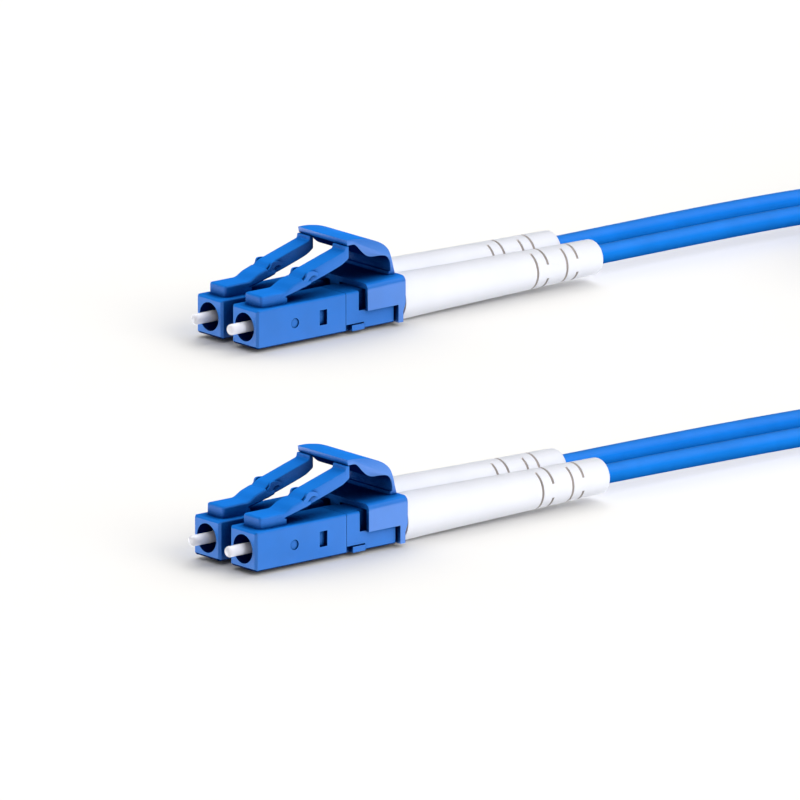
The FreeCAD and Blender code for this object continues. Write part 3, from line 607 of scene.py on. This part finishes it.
class PATCHCORD_OT_strands(PieceOperator):
    """Lays the two strands: plug, coil, crossed plug; the ties that go with them come first"""

    bl_idname = "patchcord.strands"
    bl_label = "Strands"

    def make(self, context, settings):
        cord = settings.cord
        # Painted shade in the crease between the strands, and painted shine on the upper side only, in place of
        # how the light falls.
        shade = (*settings.material.jacket_painted_shade, 1.0)
        material = make_material(
            "Strand jacket",
            settings.material.jacket,
            roughness=0.4,
            depth=0.1,
            grain=0.00016,
            crevice={"Shade": shade, "Reach": 0.0016, "Underside": 1.0, "Side Shine": 0.0, "Top Shine": 1.0},
            Coat_IOR=1.68,
        )
        for name, (first, last) in STRANDS.items():
            points = self.route(cord, ROUTES[first], ROUTES[last])
            curve = bpy.data.curves.new(name, "CURVE")
            curve.dimensions = "3D"
            curve.bevel_depth = cord.diameter / 2
            curve.bevel_resolution = 6
            curve.use_fill_caps = True
            curve.resolution_u = 8
            spline = curve.splines.new("NURBS")
            spline.points.add(len(points) - 1)
            for spot, point in zip(spline.points, points):
                spot.co = (*point, 1.0)
            spline.order_u = 3
            spline.use_endpoint_u = True
            curve.materials.append(material)
            item = bpy.data.objects.new(name, curve)
            context.scene.collection.objects.link(item)
            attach(item, "cord")
            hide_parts("strand_lead_" + first, "strand_lead_" + last, "strand_coil")

    def route(self, cord, start, end):
        """Lead, turns and lead: the turns run clockwise and rise from the first lead to the last."""
        begin, stop = start[-1], end[-1]
        centre = cord.coil_x / MM
        first = math.atan2(begin[1], begin[0] - centre)
        last = math.atan2(stop[1], stop[0] - centre)
        sweep = first - last + 2 * math.pi * cord.coil_turns
        count = round(sweep / (2 * math.pi) * cord.points_per_turn)
        step = sweep / count
        # A quadratic spline runs inside its points, so these stand that much further out.
        radius = math.hypot(begin[0] - centre, begin[1]) * 8 / (6 + 2 * math.cos(step))
        turns = []
        for number in range(1, count):
            share = number / count
            angle = first - sweep * share
            height = begin[2] + (stop[2] - begin[2]) * share
            turns.append((centre + radius * math.cos(angle), radius * math.sin(angle), height))
        return [tuple(value * MM for value in point) for point in start + turns + list(reversed(end))]


class PATCHCORD_OT_ties(PieceOperator):
    """Straps the coil with two ribbed ties"""

    bl_idname = "patchcord.ties"
    bl_label = "Ties"

    # Middle of the coil's turns from its centre, half the width of the turns, and room for the ribs, in metres.
    TURNS_AT, TURNS_HALF, ROOM = 0.0334, 0.00225, 0.0001
    CORNER, STEPS = 0.0009, 6
    RIB_SHARE = 0.94

    def make(self, context, settings):
        tie = settings.tie
        material = make_material(
            "Strap",
            settings.material.strap,
            roughness=0.75,
            drift=0.2,
            depth=0.5,
            grain=0.0002,
            Sheen_Weight=0.3,
        )
        group = self.strap_group(material)
        for name, side in (("coil_tie_1", 1), ("coil_tie_2", -1)):
            low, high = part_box(name)
            centre = settings.cord.coil_x + side * self.TURNS_AT
            half = self.TURNS_HALF + tie.thickness / 2
            bottom = tie.thickness / 2 + self.ROOM
            top = high.z - tie.thickness / 2 - self.ROOM
            path = self.path(centre, half, bottom, top)
            curve = bpy.data.curves.new(name + "_path", "CURVE")
            curve.dimensions = "3D"
            spline = curve.splines.new("POLY")
            spline.points.add(len(path) - 1)
            for spot, (x, z) in zip(spline.points, path):
                spot.co = (x, (low.y + high.y) / 2, z, 1.0)
            spline.use_cyclic_u = True
            line = bpy.data.objects.new(name + "_path", curve)
            context.scene.collection.objects.link(line)
            values = {
                "Path": line,
                "Width": tie.width,
                "Thickness": tie.thickness,
                "Ribs": tie.ribs,
                "Rib Height": tie.rib_height,
            }
            item = grown(name + "_strap", group, material, values)
            bpy.data.objects.remove(line)
            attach(item, "cord")
            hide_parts(name)

    def path(self, centre, half, low, high):
        """A rounded rectangle round the coil's section, as (x, z)."""
        corner = self.CORNER
        corners = [
            (centre + half - corner, low + corner, -90),
            (centre + half - corner, high - corner, 0),
            (centre - half + corner, high - corner, 90),
            (centre - half + corner, low + corner, 180),
        ]
        return [spot for x, z, start in corners for spot in quarter(x, z, corner, start, self.STEPS)]

    def strap_group(self, material):
        """A band along a closed path, with ribs across it."""
        inputs = [
            ("Path", "NodeSocketObject", None),
            ("Width", "NodeSocketFloat", 0.006),
            ("Thickness", "NodeSocketFloat", 0.0004),
            ("Ribs", "NodeSocketInt", 40),
            ("Rib Height", "NodeSocketFloat", 0.0001),
        ]
        group, entry, leave = geometry_group("Ribbed Strap", inputs)
        source = {"Object": entry["Path"]}
        path = add_node(group, "GeometryNodeObjectInfo", source, transform_space="RELATIVE").outputs["Geometry"]
        size = {"Width": entry["Width"], "Height": entry["Thickness"]}
        section = add_node(group, "GeometryNodeCurvePrimitiveQuadrilateral", size).outputs["Curve"]
        band = add_node(group, "GeometryNodeCurveToMesh", {"Curve": path, "Profile Curve": section})
        places = {"Curve": path, "Count": entry["Ribs"]}
        spaced = add_node(group, "GeometryNodeCurveToPoints", places, mode="COUNT")
        size = {
            "X": add_math(group, "MULTIPLY", entry["Width"], self.RIB_SHARE),
            "Y": add_math(group, "MULTIPLY_ADD", entry["Rib Height"], 2.0, entry["Thickness"]),
            "Z": entry["Thickness"],
        }
        size = add_node(group, "ShaderNodeCombineXYZ", size).outputs["Vector"]
        rib = add_node(group, "GeometryNodeMeshCube", {"Size": size})
        copies = {
            "Points": spaced.outputs["Points"],
            "Instance": rib.outputs["Mesh"],
            "Rotation": spaced.outputs["Rotation"],
        }
        copies = add_node(group, "GeometryNodeInstanceOnPoints", copies)
        both = add_node(group, "GeometryNodeJoinGeometry", {"Geometry": band.outputs["Mesh"]})
        group.links.new(copies.outputs["Instances"], both.inputs["Geometry"])
        real = add_node(group, "GeometryNodeRealizeInstances", {"Geometry": both.outputs["Geometry"]})
        paint = {"Geometry": real.outputs["Geometry"], "Material": material}
        paint = add_node(group, "GeometryNodeSetMaterial", paint)
        group.links.new(paint.outputs["Geometry"], leave["Geometry"])
        return group


class PATCHCORD_OT_finishes(PieceOperator):
    """Makes the materials of the plugs and gives them to the CAD pieces that stay"""

    bl_idname = "patchcord.finishes"
    bl_label = "Finishes"

    def make(self, context, settings):
        colours = settings.material
        # Painted shade in recesses, between the plugs, under the arms and on undersides, and painted shine that is
        # weak on tops.
        shade = (*colours.plastic_painted_shade, 1.0)
        plastic, clip = [
            make_material(
                name,
                colours.plastic,
                roughness=0.42,
                grain=colours.grain,
                crevice={"Shade": shade, "Reach": 0.0055},
                Coat_IOR=index,
            )
            for name, index in (("Plug plastic", 1.5), ("Clip plastic", 1.8))
        ]
        # Painted shade in the boots' slots and where other surfaces stand close, and painted shine that is weak on
        # tops.
        make_material(
            "Boot",
            colours.boot,
            roughness=0.5,
            drift=0.015,
            depth=0.08,
            grain=colours.grain,
            crevice={"Shade": (*colours.boot_painted_shade, 1.0), "Reach": 0.0012, "Underside": 1.0},
            Coat_IOR=1.4,
        )
        ceramic = make_material(
            "Zirconia", colours.ceramic, roughness=0.22, drift=0.02, depth=0.02, grain=colours.grain
        )
        metal = make_material("Plated metal", colours.metal, roughness=0.3, depth=0.05, Metallic=1.0)
        dress_nodes(plastic, "plug_housing", "rear_body")
        dress_nodes(clip, "duplex_clip")
        dress_nodes(ceramic, "ferrule")
        dress_nodes(metal, "ferrule_holder", "crimp_sleeve")


class PATCHCORD_OT_boots(PieceOperator):
    """Shapes the soft boots: fuller at the rear, and the far one of each end a little shorter"""

    bl_idname = "patchcord.boots"
    bl_label = "Boots"

    # Places along the plug and the radius of the bore, in millimetres.
    ROOT, FLARE_START, SLOTS_START, SLOTS_END, END = 23.0, 26.0, 39.0, 47.2, 50.9
    BORE = 1.3
    # Points of the solid nearer than this are one, in metres.
    WELD = 0.000002

    def make(self, context, settings):
        boot = settings.boot
        material = bpy.data.materials["Boot"]
        solids = frame_objects()
        near_moves = (0.0, boot.near_end)
        far_moves = (boot.far_slots, boot.far_end - boot.far_slots)
        for label, (x, y) in PLUGS.items():
            builder = bmesh.new()
            builder.from_mesh(solids["boot_" + label].data)
            bmesh.ops.remove_doubles(builder, verts=builder.verts, dist=self.WELD)
            moves = near_moves if label.endswith("1") else far_moves
            axis = Vector((x * MM, y * MM, AXIS_HEIGHT * MM))
            for vertex in builder.verts:
                vertex.co = axis + self.shaped(vertex.co - axis, boot.flare, *moves)
            mesh = built_mesh("boot_" + label, builder)
            mesh.attributes.remove(mesh.attributes["custom_normal"])
            smoothed(mesh, SHARP_BOOT)
            item = mesh_object("boot_skin_" + label, mesh, material)
            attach(item, "cord")
            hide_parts("boot_" + label)

    def share(self, place, start, end):
        """How far a place along the plug is between two others, from 0 to 1."""
        return min(max((place / MM - start) / (end - start), 0.0), 1.0)

    def shaped(self, spot, flare, slots_move, tail_move):
        """A point of the boot, seen from its axis: the outer wall flares, the slots and the tail shift."""
        radius = math.hypot(spot.y, spot.z)
        outer = flare * self.share(spot.x, self.FLARE_START, self.END) * (radius > self.BORE * MM)
        widened = (radius + outer) / max(radius, 1e-9)
        along = slots_move * self.share(spot.x, self.ROOT, self.SLOTS_START)
        along += tail_move * self.share(spot.x, self.SLOTS_END, self.END)
        return Vector((spot.x + along, spot.y * widened, spot.z * widened))


class PATCHCORD_OT_springs(PieceOperator):
    """Winds the springs behind the ferrules from round wire"""

    bl_idname = "patchcord.springs"
    bl_label = "Springs"

    # Points in one turn and round the wire.
    TURN_POINTS, WIRE_POINTS = 32, 12

    def make(self, context, settings):
        spring = settings.spring
        material = make_material("Spring steel", settings.material.metal, roughness=0.24, Metallic=1.0)
        group = self.coil_group(material)
        for label in PLUGS:
            low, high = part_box("ferrule_spring_" + label)
            middle = (low + high) / 2
            length = high.x - low.x
            values = {
                "Turns": (length - spring.wire) / spring.pitch,
                "Radius": (high.z - low.z - spring.wire) / 2,
                "Height": length - spring.wire,
                "Wire": spring.wire / 2,
                "Place": (low.x + spring.wire / 2, middle.y, middle.z),
            }
            item = grown("spring_coil_" + label, group, material, values)
            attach(item, "cord")
            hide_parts("ferrule_spring_" + label)
            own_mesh(item)

    def coil_group(self, material):
        """A coil of round wire along x."""
        inputs = [
            ("Turns", "NodeSocketFloat", 4.0),
            ("Radius", "NodeSocketFloat", 0.001),
            ("Height", "NodeSocketFloat", 0.006),
            ("Wire", "NodeSocketFloat", 0.00015),
            ("Place", "NodeSocketVector", (0.0, 0.0, 0.0)),
        ]
        group, entry, leave = geometry_group("Spring Coil", inputs)
        turns = {
            "Resolution": self.TURN_POINTS,
            "Rotations": entry["Turns"],
            "Start Radius": entry["Radius"],
            "End Radius": entry["Radius"],
            "Height": entry["Height"],
        }
        helix = add_node(group, "GeometryNodeCurveSpiral", turns).outputs["Curve"]
        size = {"Resolution": self.WIRE_POINTS, "Radius": entry["Wire"]}
        section = add_node(group, "GeometryNodeCurvePrimitiveCircle", size).outputs["Curve"]
        wire = {"Curve": helix, "Profile Curve": section, "Fill Caps": True}
        wound = add_node(group, "GeometryNodeCurveToMesh", wire)
        place = {
            "Geometry": wound.outputs["Mesh"],
            "Translation": entry["Place"],
            "Rotation": (0.0, math.radians(90), 0.0),
        }
        placed = add_node(group, "GeometryNodeTransform", place)
        paint = {"Geometry": placed.outputs["Geometry"], "Material": material}
        paint = add_node(group, "GeometryNodeSetMaterial", paint)
        group.links.new(paint.outputs["Geometry"], leave["Geometry"])
        return group


class PATCHCORD_OT_latches(PieceOperator):
    """Makes the latch arms with their roots"""

    bl_idname = "patchcord.latches"
    bl_label = "Latch arms"

    # Stations of (x, low, high) in the plug's frame, in millimetres.
    FRONT = [
        (3.6, 2.6, 3.59), (4.6, 2.75, 3.6), (5.1, 2.92, 3.74), (5.5, 2.99, 3.95),
        (5.95, 3.1, 4.2), (6.5, 3.22, 4.38), (7.0, 3.36, 4.54), (7.3, 3.43, 4.62),
        (7.45, 3.47, 4.5), (7.65, 3.5, 4.38), (8.0, 3.6, 4.4), (8.5, 3.75, 4.42),
    ]
    ARM = [
        (6.8, 3.3, 4.4), (7.3, 3.45, 4.6), (7.6, 3.53, 4.78), (7.85, 3.58, 5.0),
        (8.1, 3.65, 5.17), (8.5, 3.76, 5.3), (9.5, 4.03, 5.59), (11.0, 4.47, 6.03),
        (12.4, 4.9, 6.44), (13.2, 5.17, 6.67), (13.58, 5.36, 6.8), (13.72, 5.44, 6.98),
        (13.78, 5.48, 7.26), (13.86, 5.53, 7.315), (14.15, 5.72, 7.315), (14.25, 5.82, 7.31),
    ]
    # Outline of the hooked ears as (x, z), from the front over the top and back underneath.
    EAR = [
        (7.05, 4.25), (7.4, 4.42), (7.68, 4.61), (7.83, 4.77), (7.88, 4.95), (7.95, 5.12),
        (8.07, 5.25), (8.25, 5.31), (8.6, 5.31), (9.0, 5.26), (9.3, 5.15), (9.5, 4.98),
        (9.56, 4.8), (9.46, 4.68), (9.25, 4.72), (9.0, 4.79), (8.75, 4.79), (8.52, 4.71),
        (8.36, 4.56), (8.22, 4.38), (7.95, 4.2), (7.5, 4.03), (7.05, 3.9),
    ]
    ROOT_HEIGHT = 3.25

    def make(self, context, settings):
        latch = settings.latch
        material = bpy.data.materials["Plug plastic"]
        half, arm_half = latch.width / 2, latch.arm_width / 2
        inside, outside = arm_half + latch.ear_gap, half - latch.ear_inset
        for label, (x, y) in PLUGS.items():
            builder = bmesh.new()
            at = y * MM
            front, arm = [in_metres(smooth_line(line), x, AXIS_HEIGHT) for line in (self.FRONT, self.ARM)]
            ear = in_metres(smooth_line(self.EAR, 3), x, AXIS_HEIGHT)
            lofted(builder, front, at, half, latch.front_edge)
            lofted(builder, arm, at, arm_half, latch.arm_edge)
            extruded(builder, ear, at - outside, at - inside)
            extruded(builder, ear, at + inside, at + outside)
            bmesh.ops.recalc_face_normals(builder, faces=builder.faces)
            mesh = built_mesh("latch_" + label, builder)
            smoothed(mesh, SHARP)
            item = mesh_object("latch_skin_" + label, mesh, material)
            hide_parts("latch_arm_" + label)
            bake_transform(item)


class PATCHCORD_OT_triggers(PieceOperator):
    """Makes the triggers with their posts"""

    bl_idname = "patchcord.triggers"
    bl_label = "Triggers"

    # Outline as (x, z) in the plug's frame, in millimetres: over the top, round the foot and back underneath.
    TOP = [
        (13.92, 8.0), (14.6, 8.01), (15.3, 7.97), (15.9, 7.89), (17.0, 7.68), (18.1, 7.32), (18.9, 6.95),
        (19.55, 6.53), (20.1, 5.95), (20.43, 5.2), (20.64, 4.5), (20.82, 3.75), (20.98, 3.2),
    ]
    FOOT = [(21.0, 2.9), (20.06, 2.9), (20.06, 3.42)]
    BOTTOM = [
        (20.3, 3.46), (20.3, 4.1), (20.15, 4.7), (19.88, 5.1), (19.45, 5.36), (18.6, 5.48),
        (17.5, 5.54), (16.76, 5.81), (16.05, 6.4), (15.4, 7.08), (14.95, 7.33), (14.03, 7.345),
    ]
    POST_AT = 20.65

    def make(self, context, settings):
        trigger = settings.trigger
        material = bpy.data.materials["Clip plastic"]
        outline = smooth_line(self.TOP, 4) + self.FOOT + smooth_line(self.BOTTOM, 4)
        half = trigger.width / 2
        for label, (x, y) in ENDS.items():
            builder = bmesh.new()
            at = y * MM
            extruded(builder, in_metres(outline, x, AXIS_HEIGHT), at - half, at + half)
            bmesh.ops.recalc_face_normals(builder, faces=builder.faces)
            mesh = built_mesh("trigger_" + label, builder)
            item = with_edges(mesh_object("trigger_skin_" + label, mesh, material), trigger.edge)
            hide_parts("trigger_" + label)
            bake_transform(item)


class PATCHCORD_OT_stage(PieceOperator):
    """Sets floor, surround and lights"""

    bl_idname = "patchcord.stage"
    bl_label = "Stage"

    FLOOR_SHADES = ((0.846, 0.834, 0.815, 1.0), (0.856, 0.844, 0.825, 1.0))
    FLOOR_SCALE, FLOOR_ROUGHNESS = 12.0, 0.9
    # Lights that show in reflections.
    GLOSSY = {"key", "fill", "gleam"}

    def make(self, context, settings):
        stage = settings.stage
        floor = self.floor(stage)
        context.scene.world = self.surround(stage)
        self.lights(context, stage, floor)
        context.scene.view_settings.view_transform = "Standard"

    def floor(self, stage):
        """A white floor that throws back less light than the camera sees and is brighter in reflections."""
        half = stage.floor_size / 2
        mesh = bpy.data.meshes.new("floor")
        corners = [(-half, -half, 0), (half, -half, 0), (half, half, 0), (-half, half, 0)]
        mesh.from_pydata(corners, [], [(0, 1, 2, 3)])
        material = bpy.data.materials.new("Floor")
        material.use_nodes = True
        tree = material.node_tree
        shader = tree.nodes["Principled BSDF"].inputs
        shader["Roughness"].default_value = self.FLOOR_ROUGHNESS
        shader["Specular IOR Level"].default_value = 0.0
        shader["Emission Color"].default_value = WHITE
        place = add_node(tree, "ShaderNodeTexCoord").outputs["Object"]
        drift = add_node(tree, "ShaderNodeTexNoise", {"Vector": place, "Scale": self.FLOOR_SCALE})
        ramp = add_node(tree, "ShaderNodeValToRGB", {"Fac": drift.outputs["Fac"]})
        for element, shade in zip(ramp.color_ramp.elements, self.FLOOR_SHADES):
            element.color = shade
        rays = add_node(tree, "ShaderNodeLightPath").outputs
        bounce = (*[stage.floor_bounce] * 3, 1.0)
        colours = {"Factor": rays["Is Camera Ray"], "A": bounce, "B": ramp.outputs["Color"]}
        dim = add_node(tree, "ShaderNodeMix", colours, data_type="RGBA")
        tree.links.new(dim.outputs["Result"], shader["Base Color"])
        mirrored = add_math(tree, "MULTIPLY", rays["Is Glossy Ray"], stage.floor_mirror)
        tree.links.new(mirrored, shader["Emission Strength"])
        floor = mesh_object("floor", mesh, material)
        floor.visible_shadow = False
        return floor

    def surround(self, stage):
        """An even light from above the horizon, weaker in reflections, and a white backdrop for the camera."""
        world = bpy.data.worlds.new("surround")
        world.use_nodes = True
        tree = world.node_tree
        background = tree.nodes["Background"].inputs
        background["Color"].default_value = WHITE
        rays = add_node(tree, "ShaderNodeLightPath").outputs
        strength = add_range(tree, rays["Is Glossy Ray"], (0.0, 1.0), (stage.world, stage.world_mirror))
        direction = add_node(tree, "ShaderNodeTexCoord").outputs["Generated"]
        upright = add_node(tree, "ShaderNodeSeparateXYZ", {"Vector": direction}).outputs["Z"]
        above = add_math(tree, "GREATER_THAN", upright, 0.0)
        half_sky = add_math(tree, "MULTIPLY", strength, above)
        backdrop = add_math(tree, "MAXIMUM", half_sky, rays["Is Camera Ray"])
        tree.links.new(backdrop, background["Strength"])
        return world

    def lights(self, context, stage, floor):
        """Soft suns, each for the plugs, their sides, the ferrules, the boots, the strands or the floor."""
        boots = [bpy.data.objects["boot_skin_" + label] for label in PLUGS]
        strands = [bpy.data.objects[name] for name in STRANDS]
        solids = frame_objects()
        ferrules = [solids["ferrule_" + label] for label in PLUGS]
        on_floor = self.light_group("floor", [floor], "INCLUDE")
        on_boots = self.light_group("boots", boots, "INCLUDE")
        on_strands = self.light_group("strands", strands, "INCLUDE")
        on_plugs = self.light_group("plugs", [floor, *boots, *strands], "EXCLUDE")
        on_sides = self.light_group("sides", [floor, *boots, *strands, *ferrules], "EXCLUDE")
        on_ferrules = self.light_group("ferrules", ferrules, "INCLUDE")
        through = self.light_group("all but strands", strands, "EXCLUDE")
        # Name, strength, spread in degrees, where it comes from, what it lights and what casts its shadows.
        suns = [
            ("key", stage.key, 80, (0.5, 0.05, 1.0), on_plugs, None),
            ("side", stage.side, 20, (0.9, -1.0, 0.15), on_sides, None),
            ("front", stage.front, 30, (-1.0, 0.9, 0.2), on_plugs, None),
            ("tips", stage.tips, 20, (0.25, -1.0, 0.15), on_ferrules, None),
            ("fill", stage.fill, 50, (-0.1, -1.0, 0.55), on_boots, None),
            ("back", stage.boot_back, 50, (0.1, 1.0, 0.2), on_boots, None),
            ("gleam", stage.gleam, 40, (-0.1, -1.0, 1.1), on_strands, None),
            ("sweep", stage.sweep, 50, (0.3, -1.0, 0.55), on_floor, None),
            ("right", stage.right, 80, (1.0, 0.15, 0.7), on_floor, through),
            ("rear", stage.rear, 80, (0.35, 1.0, 0.8), on_floor, through),
        ]
        for sun in suns:
            self.sun(context, *sun)

    def light_group(self, name, items, state):
        """A group of objects that a light takes in or leaves out."""
        group = bpy.data.collections.new("light on " + name)
        for number, item in enumerate(items):
            group.objects.link(item)
            group.collection_objects[number].light_linking.link_state = state
        return group

    def sun(self, context, name, strength, spread, place, receivers, blockers):
        """A soft sun that shines from a place towards the origin; without blockers everything casts its shadow."""
        light = bpy.data.lights.new(name, "SUN")
        light.energy = strength
        light.angle = math.radians(spread)
        item = bpy.data.objects.new(name, light)
        context.scene.collection.objects.link(item)
        item.visible_glossy = name in self.GLOSSY
        item.light_linking.receiver_collection = receivers
        item.light_linking.blocker_collection = blockers
        item.location = place
        item.rotation_euler = (-Vector(place)).to_track_quat("-Z", "Y").to_euler()


class PATCHCORD_PT_panel(bpy.types.Panel):
    """Settings and operators of the patch cord"""

    bl_idname = "PATCHCORD_PT_panel"
    bl_label = "Patch Cord"
    bl_space_type = "VIEW_3D"
    bl_region_type = "UI"
    bl_category = "Patch Cord"

    def draw(self, context):
        settings = context.scene.patch_cord
        for name in settings.bl_rna.properties.keys():
            group = getattr(settings, name)
            if not isinstance(group, bpy.types.PropertyGroup):
                continue
            box = self.layout.box()
            box.label(text=settings.bl_rna.properties[name].name)
            for field in group.bl_rna.properties.keys():
                if field not in {"rna_type", "name"}:
                    box.prop(group, field)
        for operator in OPERATORS:
            self.layout.operator(operator.bl_idname)


SETTINGS = (
    CordSettings,
    TieSettings,
    BootSettings,
    SpringSettings,
    LatchSettings,
    TriggerSettings,
    MaterialSettings,
    StageSettings,
    PatchCordSettings,
)
OPERATORS = (
    PATCHCORD_OT_camera,
    PATCHCORD_OT_ties,
    PATCHCORD_OT_strands,
    PATCHCORD_OT_finishes,
    PATCHCORD_OT_boots,
    PATCHCORD_OT_springs,
    PATCHCORD_OT_latches,
    PATCHCORD_OT_triggers,
    PATCHCORD_OT_stage,
)
CLASSES = (*SETTINGS, *OPERATORS, PATCHCORD_PT_panel)


def register():
    for item in CLASSES:
        bpy.utils.register_class(item)
    bpy.types.Scene.patch_cord = group_property("Patch cord", "Settings of the patch cord", PatchCordSettings)


def unregister():
    del bpy.types.Scene.patch_cord
    for item in reversed(CLASSES):
        bpy.utils.unregister_class(item)


def main():
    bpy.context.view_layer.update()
    register()
    bpy.ops.patchcord.camera()
    bpy.ops.patchcord.ties()
    bpy.ops.patchcord.strands()
    bpy.ops.patchcord.finishes()
    bpy.ops.patchcord.boots()
    bpy.ops.patchcord.springs()
    bpy.ops.patchcord.latches()
    bpy.ops.patchcord.triggers()
    bpy.ops.patchcord.stage()


if __name__ == "__main__":
    main()
